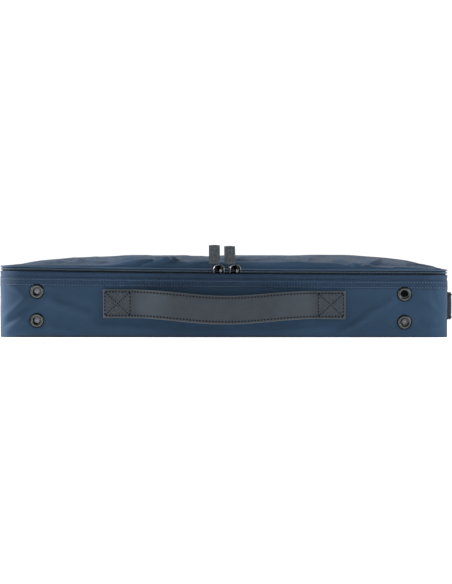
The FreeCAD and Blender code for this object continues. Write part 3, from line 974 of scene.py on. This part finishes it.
NYLON_AS_CLOTH = {
    "quality": 6, "mass": 0.3, "vertex_group_mass": "sewn", "pin_stiffness": 1.0, "shrink_min": -0.022,
    "tension_stiffness": 20, "compression_stiffness": 20, "shear_stiffness": 8, "bending_stiffness": 0.5,
    "use_pressure": True, "uniform_pressure_force": 0.12,
}


def buckled_cloth():
    """How far the lid's cloth lifts at (x, y): cut slightly large and sewn down all round, it buckles."""
    half_x = HALF_X - LID_INSET
    half_y = HALF_Y - LID_INSET
    count_x = 134
    count_y = 90
    points = []
    for i in range(count_x + 1):
        x = half_x * (2 * i / count_x - 1)
        for j in range(count_y + 1):
            y = half_y * (2 * j / count_y - 1)
            points.append((x, y, lid_rise(x, y)))
    trial = piece("buckling_trial", points, grid_faces(count_x + 1, count_y + 1), CLOTH)
    sewn = trial.vertex_groups.new(name="sewn")
    for vertex in trial.data.vertices:
        margin = min(half_x - abs(vertex.co.x), half_y - abs(vertex.co.y))
        sewn.add([vertex.index], 1 - smooth(0.5 * MM, 7 * MM, margin), "REPLACE")
    modifier = trial.modifiers.new("cloth", "CLOTH")
    for setting, value in NYLON_AS_CLOTH.items():
        setattr(modifier.settings, setting, value)
    modifier.settings.effector_weights.gravity = 0
    modifier.collision_settings.use_collision = False
    last_frame = 18
    modifier.point_cache.frame_end = last_frame
    for number in range(1, last_frame + 1):
        bpy.context.scene.frame_set(number)
    depsgraph = bpy.context.evaluated_depsgraph_get()
    after = trial.evaluated_get(depsgraph).data.vertices
    lifts = [vertex.co.z - point[2] for vertex, point in zip(after, points)]
    bpy.context.scene.frame_set(1)
    bpy.data.objects.remove(trial)
    lifts = without_swell(lifts, count_x + 1, count_y + 1)
    most = 1.6 * MM

    def lift(x, y):
        i = min(max((x / half_x + 1) / 2 * count_x, 0), count_x - 1e-6)
        j = min(max((y / half_y + 1) / 2 * count_y, 0), count_y - 1e-6)
        a = int(i)
        b = int(j)
        s = i - a
        t = j - b
        column = count_y + 1
        near = lifts[a * column + b] * (1 - t) + lifts[a * column + b + 1] * t
        far = lifts[(a + 1) * column + b] * (1 - t) + lifts[(a + 1) * column + b + 1] * t
        return most * math.tanh((near * (1 - s) + far * s) / most)

    return lift


def without_swell(lifts, rows, columns):
    """Leaves the small buckles of a grid of lifts: takes away its average over a wide square."""
    reach = 7
    sums = [[0.0] * (columns + 1) for i in range(rows + 1)]
    for i in range(rows):
        for j in range(columns):
            sums[i + 1][j + 1] = sums[i][j + 1] + sums[i + 1][j] - sums[i][j] + lifts[i * columns + j]
    small = []
    for i in range(rows):
        for j in range(columns):
            i0 = max(i - reach, 0)
            i1 = min(i + reach + 1, rows)
            j0 = max(j - reach, 0)
            j1 = min(j + reach + 1, columns)
            total = sums[i1][j1] - sums[i0][j1] - sums[i1][j0] + sums[i0][j0]
            small.append(lifts[i * columns + j] - total / ((i1 - i0) * (j1 - j0)))
    return small


# ---- handles --------------------------------------------------------------------------
STRAP_HALF = 144.6 * MM   # lengths from a strap's middle: its end, where it is free, its stiff grip
STRAP_FREE = 110 * MM
STRAP_GRIP = 64 * MM
STRAP_WIDE = 34 * MM
STRAP_THICK = 2.6 * MM
STRAP_CROWN = 0.4 * MM
BACK_THICK = MM
STITCH_IN = 3 * MM


@dataclass
class Strap:
    """Where a strap handle runs: along the wall, out from it, and up."""
    name: str
    bow: float
    mid_z: float
    sag: float
    ends: tuple
    side: bool

    def out(self, along):
        u = min(abs(along) / STRAP_FREE, 1.0)
        return self.bow * (1 - u ** 5) ** 2

    def slope(self, along):
        step = 0.5 * MM
        return (self.out(along + step) - self.out(along - step)) / (2 * step)

    def middle(self, along):
        u = min(abs(along) / STRAP_FREE, 1.0)
        return self.mid_z - self.sag * 0.5 * (1 + math.cos(math.pi * u))

    def point(self, along, depth, up):
        """depth is the distance out through the strap from its inner face."""
        slope = self.slope(along)
        size = math.hypot(1, slope)
        shifted = along - depth * slope / size
        out = self.out(along) + depth / size
        z = self.middle(along) + up
        if self.side:
            return Vector((HALF_X + out, shifted, settle(HALF_X, shifted, z)))
        return Vector((shifted, -HALF_Y - out, settle(shifted, -HALF_Y, z)))

    def outwards(self):
        return Vector((1, 0, 0)) if self.side else Vector((0, -1, 0))


def strap_section(half_wide, low, high, crown, rounding):
    """Outline across a strap: (up, depth, v), with rounded edges and a slight crown."""
    section = []
    flat = half_wide - rounding
    count = 12
    for turn, level, bulge in ((1, high, crown), (-1, low, 0.0)):
        for i in range(count + 1):
            t = turn * (2 * i / count - 1)
            section.append((t * flat, level + bulge * (1 - t * t), t * 0.93))
        for i in range(1, 6):
            angle = math.pi * (turn / 2 - i / 6)
            depth = (low + high) / 2 + (high - low) / 2 * math.sin(angle)
            section.append((turn * flat + rounding * math.cos(angle), depth, 1.0))
    return section


def strap_layer(strap, name, sign, section, material, reach):
    """Half a layer of a strap, from its middle to one end."""
    count = 64
    points = []
    uvs = []
    for i in range(count + 1):
        t = i / count
        along = sign * reach * t
        taper = 1 - 0.10 * MM / STRAP_WIDE * math.cos(9 * t)
        end = max(0.0, (t - 0.985) / 0.015)
        for up, depth, v in section:
            flat_depth = depth * (1 - 0.25 * end * end)
            points.append(strap.point(along, flat_depth, up * taper))
            edge = max(abs(v), smooth(0.965, 0.995, t))
            uvs.append((along, edge))
    faces = grid_faces(count + 1, len(section), False, True) + end_faces(count + 1, len(section))[1:]
    return piece(name, points, flipped(faces) if sign > 0 else faces, material, uvs)


def bend_strap(thing, strap, sign, slot, *nodes):
    """Bakes a strap piece's transform and hides the CAD nodes it stands for."""
    start = strap.point(sign * STRAP_FREE, 0, 0)
    end = start.copy()
    end[1 if strap.side else 0] = sign * STRAP_GRIP
    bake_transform(thing)
    if nodes:
        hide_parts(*nodes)


def strap_stitches(strap, sign):
    """Saddle stitches: both long rows and the boxed cross at the sewn end."""
    thread = Pile()
    row = STRAP_WIDE / 2 - STITCH_IN
    lines = [((0.0, up), (BOX_FAR, up), 3.85 * MM, 0.80 * MM) for up in (row, -row)]
    lines += [((along, -row), (along, row), 4.0 * MM, 0.68 * MM) for along in (BOX_NEAR, BOX_FAR)]
    lines += [((BOX_NEAR, -up), (BOX_FAR, up), 3.2 * MM, 0.56 * MM) for up in (row, -row)]
    for (a0, b0), (a1, b1), pitch, thick in lines:
        length = math.hypot(a1 - a0, b1 - b0)
        count = max(2, round(length / pitch))
        for i in range(count):
            ends = []
            for t in ((i + 0.22) / count, (i + 0.78) / count):
                along = sign * (a0 + (a1 - a0) * t)
                up = b0 + (b1 - b0) * t
                crown = STRAP_CROWN * (1 - (up / (STRAP_WIDE / 2)) ** 2)
                ends.append(strap.point(along, STRAP_THICK + crown - 0.05 * MM, up))
            thread.stitch(ends[0], ends[1], strap.outwards(), thick)
    return thread


def make_handle(strap):
    top = strap_section(STRAP_WIDE / 2, BACK_THICK, STRAP_THICK, STRAP_CROWN, 0.9 * MM)
    back = strap_section(STRAP_WIDE / 2 - 1.2 * MM, 0.05 * MM, BACK_THICK, 0.0, 0.4 * MM)
    for sign, end in zip((-1, 1), strap.ends):
        name = strap.name + "_" + end
        # The side strap takes the darkened leather: painted shade.
        material = SIDE_LEATHER_PAINTED_SHADE if strap.side else LEATHER
        skin = strap_layer(strap, name + "_leather", sign, top, material, STRAP_HALF)
        nodes = [strap.name + "_end_" + end, strap.name + "_bend_" + end]
        if sign < 0:
            nodes.append(strap.name + "_grip_leather")
        bend_strap(skin, strap, sign, "leather", *nodes)
        under = strap_layer(strap, name + "_backing", sign, back, BACKING, STRAP_HALF - 1 * MM)
        bend_strap(under, strap, sign, "strap_backing", *([strap.name + "_grip_backing"] if sign > 0 else []))
        thread = strap_stitches(strap, sign).make(name + "_stitches", BLACK_THREAD)
        bend_strap(thread, strap, sign, "leather")


# ---- eyelets --------------------------------------------------------------------------
PLUG_RADIUS = 3.9 * MM
FLANGE = mm_pairs((8, -1.6), (8.1, -0.2), (7.8, 0.55), (7.2, 1.05), (6.5, 1.2), (5.8, 1.1), (5.2, 0.75),
                  (4.8, 0.25), (4.55, -0.4), (4.5, -1.2), (4.5, -2.6), (5, -2.6), (5, -1))
# Black ring round each flange, drawn as a gasket: painted shade of the gap between flange and cloth.
GASKET_SHADE_RING = mm_pairs((7.4, -0.9), (7.4, 0.1), (8.3, 0.15), (8.75, -0.15), (8.8, -0.9))
# Black disc behind each plug: painted shade inside the hole.
SHADE = mm_pairs((5.6, -2.5), (3, -2.9), (0.01, -3))


def lathe(name, x, y, z, profile, material, count=48):
    """Turns a profile of (radius, out) about an axis along -Y."""
    points = []
    for i in range(count):
        angle = 2 * math.pi * i / count
        for radius, out in profile:
            points.append((x + radius * math.cos(angle), y - out, z + radius * math.sin(angle)))
    return piece(name, points, grid_faces(count, len(profile), True, False), material)


def plug_profile(bulge):
    """What shows inside an eyelet: a disc that bulges outwards."""
    radii = [PLUG_RADIUS * (1 - step / 8) + 0.01 * MM for step in range(9)]
    return [(r, -2.6 * MM + bulge * math.cos(math.pi / 2 * r / PLUG_RADIUS)) for r in radii]


def make_eyelets():
    """Rolled flange, gasket ring and plug; the gasket ring and a disc behind each plug are black as painted
    shade, and the upper right eyelet's plug is a flat black disc, painted shade of an empty hole.
    """
    for name, x, z in EYELETS:
        height = settle(x, -HALF_Y, z)
        ring = lathe("eyelet_ring_" + name, x, -HALF_Y, height, FLANGE, BLACK_NICKEL)
        dress(ring, "case", "eyelet_metal", "eyelet_" + name)
        # The ring round the flange is black as painted shade.
        collar = lathe("eyelet_gasket_" + name, x, -HALF_Y, height, GASKET_SHADE_RING, BLACK_PAINTED_SHADE)
        dress(collar, "case", "eyelet_metal")
        # The upper right eyelet gets a flat black disc as painted shade of its empty hole; the others show
        # grey lining bulging in.
        bulge, material = (0.0, BLACK_PAINTED_SHADE) if name == "upper_right" else (1.5 * MM, PLUG)
        plug_x = x + 0.5 * MM
        plug_z = height + 0.4 * MM
        plug = lathe("eyelet_lining_" + name, plug_x, -HALF_Y, plug_z, plug_profile(bulge), material)
        dress(plug, "case", "lining")
        # A black disc behind each plug paints the shade inside the hole.
        dress(lathe("eyelet_shade_" + name, x, -HALF_Y, height, SHADE, BLACK_PAINTED_SHADE), "case", "lining")


# ---- sliders and pulls ----------------------------------------------------------------
PLATE_BOTTOM = 76.6 * MM
BACK_PLATE = (75.9 * MM, 80.7 * MM)
BRIDGE_Z = 79.7 * MM
WIRE = 0.62 * MM


def arch_outline(side, inset):
    """Arched outline of the slider's plate, as (x, z) points anticlockwise."""
    low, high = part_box("slider_" + side)
    x = (low[0] + high[0]) / 2
    half = high[0] - x - inset
    bottom = PLATE_BOTTOM + inset
    top = high[2] - inset
    shoulder = PLATE_BOTTOM + 3.2 * MM
    points = [(x - half + 0.8 * MM, bottom), (x + half - 0.8 * MM, bottom), (x + half, bottom + 0.8 * MM)]
    count = 20
    for i in range(count + 1):
        angle = math.pi * i / count
        across = math.copysign(abs(math.cos(angle)) ** 0.82, math.cos(angle))
        points.append((x + half * across, shoulder + (top - shoulder) * math.sin(angle) ** 0.82))
    points.append((x - half, bottom + 0.8 * MM))
    return points


def stacked(side, layers):
    """Plate built from (inset, y) layers, front last, as (points, faces)."""
    points = []
    for inset, y in layers:
        points.extend(Vector((px, y, pz)) for px, pz in arch_outline(side, inset))
    size = len(arch_outline(side, 0))
    return points, flipped(rod_faces(len(layers), size))


def make_slider(side):
    """Cast slider: arched plate with a raised rim, a recess painted black as shade, back plate, post and
    bridge.
    """
    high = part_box("slider_" + side)[1]
    x = box_middle("slider_" + side)[0]
    face = -HALF_Y - 1.8 * MM
    plate = mm_pairs((0.5, -0.35), (0, -0.8), level=-HALF_Y)
    plate += mm_pairs((0, 0.4), (0.25, -0.3), (0.75, -0.55), (1.25, -0.3), (1.5, 0.5), (3.4, 0.6), level=face)
    pile = Pile()
    pile.add(*stacked(side, plate))
    pile.add(*block((x - 1.5 * MM, -HALF_Y - 0.4 * MM, CHAIN_MID - 0.25 * MM),
                    (x + 1.5 * MM, -HALF_Y + 3.2 * MM, CHAIN_MID + 0.25 * MM), 0.1 * MM))
    pile.add(*block((x - 5 * MM, -HALF_Y + 3.1 * MM, BACK_PLATE[0]), (x + 5 * MM, high[1], BACK_PLATE[1]),
                    0.4 * MM))
    dress(pile.make("slider_body_" + side, GUNMETAL), "slider_" + side, "slider_metal", "slider_" + side)
    # The recess floor is painted black as the shade inside the slider's plate.
    floor = Pile()
    floor.add(*stacked(side, mm_pairs((1.3, 0.8), (1.3, 0.35), (1.8, 0.3), level=face)))
    floor.add(*block((x - 6.3 * MM, face - 0.62 * MM, PLATE_BOTTOM - 0.1 * MM),
                     (x + 6.3 * MM, face + 0.2 * MM, PLATE_BOTTOM + 1.8 * MM), 0.2 * MM))
    dress(floor.make("slider_recess_" + side, RECESS_PAINTED_SHADE), "slider_" + side, "slider_metal")
    path = []
    for i in range(21):
        angle = math.pi * i / 20
        reach = Vector((0, -math.sin(angle), -math.cos(angle)))
        point = Vector((x + 2 * MM, face + (0.3 + reach.y * 3.3) * MM, BRIDGE_Z + reach.z * 2.4 * MM))
        path.append((point, Vector((1, 0, 0)), reach))
    bridge = sweep("slider_bridge_" + side, path, ellipse(1.3 * MM, 0.55 * MM), GUNMETAL)
    dress(bridge, "slider_" + side, "slider_metal")


def block(low, high, bevel):
    """Box with chamfered edges, as (points, faces)."""
    points = []
    for cut, y in ((bevel, low[1]), (0.0, low[1] + bevel), (0.0, high[1] - bevel), (bevel, high[1])):
        left = low[0] + cut
        right = high[0] - cut
        bottom = low[2] + cut
        top = high[2] - cut
        points += [Vector((x, y, z)) for x, z in ((left, bottom), (right, bottom), (right, top), (left, top))]
    return points, flipped(rod_faces(4, 4))


def rounded_loop(corners, radius):
    """Closed path of (point, across axis, up axis) through corners in one upright plane."""
    path = []
    for k, corner in enumerate(corners):
        before = (corners[k - 1] - corner).normalized()
        after = (corners[(k + 1) % len(corners)] - corner).normalized()
        half = before.angle(after) / 2
        start = corner + before * (radius / math.tan(half))
        middle = corner + (before + after).normalized() * (radius / math.sin(half))
        turn = math.pi - 2 * half
        for i in range(9):
            out = start - middle
            out.rotate(Quaternion((0, -1, 0), turn * i / 8))
            path.append((middle + out, Vector((0, 1, 0)), out.normalized()))
    return path


def make_wire(side):
    """Bent wire loop, wide over the slider and narrow in the tab's fold."""
    low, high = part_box("pull_loop_" + side)
    y = box_middle("pull_loop_" + side)[1]
    slider_x = box_middle("slider_" + side)[0]
    tab_x = box_middle("pull_tab_" + side)[0]
    bottom = low[2] + 0.8 * MM
    top = high[2] - 0.8 * MM
    corners = [Vector((slider_x - 7.7 * MM, y, bottom)), Vector((slider_x + 4.6 * MM, y, bottom)),
               Vector((tab_x + 5.2 * MM, y, top)), Vector((tab_x - 5.2 * MM, y, top))]
    path = rounded_loop(corners, 1.6 * MM)
    loop = sweep("pull_wire_" + side, path, ellipse(WIRE, WIRE, 10), WIRE_METAL, True)
    dress(loop, "pull_" + side, "slider_metal", "pull_loop_" + side)


def make_tab(side, trim, tilt):
    """Folded webbing, cut trim short of its CAD box and tilted sideways over its height."""
    low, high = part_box("pull_tab_" + side)
    y = box_middle("pull_loop_" + side)[1]
    top = high[2] - trim
    outline_points = tab_outline(y, low[2], top)
    columns = 40
    points = []
    uvs = []
    for i in range(columns + 1):
        t = 2 * i / columns - 1
        rib = 0.16 * MM * math.cos(t * math.pi * 6)
        selvage = -0.35 * MM * smooth(0.93, 1.0, abs(t))
        for k, (py, pz, ny) in enumerate(outline_points):
            height = (pz - low[2]) / (top - low[2])
            weave = 0.12 * MM * math.sin(pz / (2.2 * MM) * 2 * math.pi + round(t * 6) * math.pi)
            narrow = 1 - 0.01 * smooth(0.2, 1.0, height) - 0.05 * (1 - smooth(0.0, 0.12, height))
            arch = -0.55 * MM * t * t * smooth(0.75, 1.0, height)
            curl = 0.5 * MM * height * height * t * t
            x = (low[0] + high[0]) / 2 + t * (high[0] - low[0]) / 2 * narrow + tilt * height
            points.append((x, py + ny * (rib + weave + selvage) + curl, pz + arch))
            uvs.append((t * 6.5 * MM, 0.45 * MM * k))
    faces = flipped(rod_faces(columns + 1, len(outline_points)))
    tab = piece("pull_webbing_" + side, points, faces, WEBBING, uvs)
    dress(tab, "pull_" + side, "webbing", "pull_tab_" + side)
    thread = Pile()
    for row in range(3):
        for k in range(6):
            for facing in (-1, 1):
                offset = Vector((1.4 + 1.8 * k, facing * 1.62, 3 + 1.6 * row)) * MM
                start = Vector((low[0], y, low[2])) + offset
                thread.stitch(start, start + Vector((1.2 * MM, 0, 0)), Vector((0, facing, 0)), 0.2 * MM)
    dress(thread.make("pull_stitches_" + side, WEB_THREAD), "pull_" + side, "webbing")


def tab_outline(y, z_low, z_high):
    """Side outline of the folded webbing: (y, z, normal y), thicker where it wraps the wire."""
    fold = 1.75 * MM
    end = 1.2 * MM
    count = 12
    steps = 44
    points = []
    for i in range(count + 1):
        angle = math.pi + math.pi * i / count
        points.append((y + fold * math.cos(angle), z_low + fold + fold * math.sin(angle), math.cos(angle)))

    def on_face(t, facing):
        half = 1.35 * MM + 0.4 * MM * math.exp(-(t * 6) ** 2) + 0.1 * MM * math.sin(t * 5)
        return (y + facing * half, z_low + fold + (z_high - z_low - fold - end) * t, facing)

    points += [on_face(i / steps, 1.0) for i in range(1, steps)]
    for i in range(7):
        angle = math.pi * i / 6
        points.append((y + 1.3 * MM * math.cos(angle), z_high - end + end * math.sin(angle), math.cos(angle)))
    return points + [on_face(i / steps, -1.0) for i in reversed(range(1, steps))]


# ---- hidden CAD nodes -----------------------------------------------------------------
def paint_frame():
    """Materials for the CAD nodes that stay."""
    for name, thing in frame["nodes"].items():
        if name.startswith("washer"):
            material = BLACK_NICKEL
        elif name.startswith("patch") or name.endswith("board"):
            material = BOARD
        elif name.startswith("zip_end"):
            material = BLACK_THREAD
        elif "foam" in name:
            material = FOAM
        else:
            continue
        thing.data.materials.clear()
        thing.data.materials.append(material)


# ---- studio ---------------------------------------------------------------------------
def make_stage():
    g = Graph("white floor")
    base = g.shade(g.noise(3.0, 2.0), (0.78, 0.78, 0.78), (0.82, 0.82, 0.82))
    white = g.finish(Base_Color=base, Roughness=0.9, Specular_IOR_Level=0.0, Emission_Color=(1, 1, 1, 1),
                     Emission_Strength=0.85)
    size = 30.0
    corners = [(-size, -size, 0), (size, -size, 0), (size, size, 0), (-size, size, 0)]
    piece("floor", corners, [(0, 1, 2, 3)], white)


def area_light(name, place, target, size, power, colour=(1, 1, 1)):
    light = bpy.data.lights.new(name, "AREA")
    light.shape = "RECTANGLE"
    light.size = size[0]
    light.size_y = size[1]
    light.energy = power
    light.color = colour
    thing = linked(name, light)
    thing.location = place
    thing.rotation_euler = (Vector(target) - Vector(place)).to_track_quat("-Z", "Y").to_euler()
    thing.visible_camera = False


def make_lights():
    world = bpy.data.worlds.new("white studio")
    world.use_nodes = True
    tree = world.node_tree
    background = tree.nodes["Background"]
    background.inputs["Color"].default_value = (1, 1, 1, 1)
    mix = tree.nodes.new("ShaderNodeMix")
    rays = tree.nodes.new("ShaderNodeLightPath")
    mix.inputs[2].default_value = 0.2
    mix.inputs[3].default_value = 1.05
    tree.links.new(rays.outputs["Is Camera Ray"], mix.inputs[0])
    tree.links.new(mix.outputs[0], background.inputs["Strength"])
    bpy.context.scene.world = world
    area_light("overhead", (-2.6, 0.20, 1.15), (-0.1, 0.05, 0), (1.0, 0.8), 165)
    area_light("front left", (-0.52, -0.36, 0.28), (-0.24, -0.18, 0.04), (0.2, 0.3), 0.45)
    area_light("front right", (0.58, -0.40, 0.28), (0.24, -0.18, 0.04), (0.2, 0.3), 1.3)
    area_light("left", (-1.4, -0.2, 0.4), (-0.2, 0, 0.05), (0.6, 0.8), 5.8, (0.92, 0.96, 1.0))
    area_light("right", (1.4, -0.2, 0.4), (0.2, 0, 0.05), (0.6, 0.8), 8.5, (0.92, 0.96, 1.0))


def make_camera():
    """Level camera in front of the handle."""
    distance = 4.0
    picture_height = 0.6966
    camera = bpy.data.cameras.new("camera")
    camera.sensor_width = 36
    camera.lens = 36 * distance / picture_height
    thing = linked("camera", camera)
    thing.location = (0.0021, -HALF_Y - distance, 0.0543)
    thing.rotation_euler = (math.pi / 2, 0, 0)
    bpy.context.scene.camera = thing
    bpy.context.scene.view_settings.view_transform = "Standard"


make_camera()
make_lights()
make_stage()
make_wall()
make_base()
make_inside()
make_zip()
make_hinge()
make_lid()
make_handle(Strap("front_handle", 15.0 * MM, 39.6 * MM, 6.8 * MM, ("left", "right"), False))
make_handle(Strap("side_handle", 9.4 * MM, 39.5 * MM, 1.5 * MM, ("front", "rear"), True))
make_eyelets()
for side, trim, tilt in (("left", 0.7 * MM, -0.2 * MM), ("right", 1.9 * MM, -0.45 * MM)):
    make_slider(side)
    make_wire(side)
    make_tab(side, trim, tilt)
paint_frame()
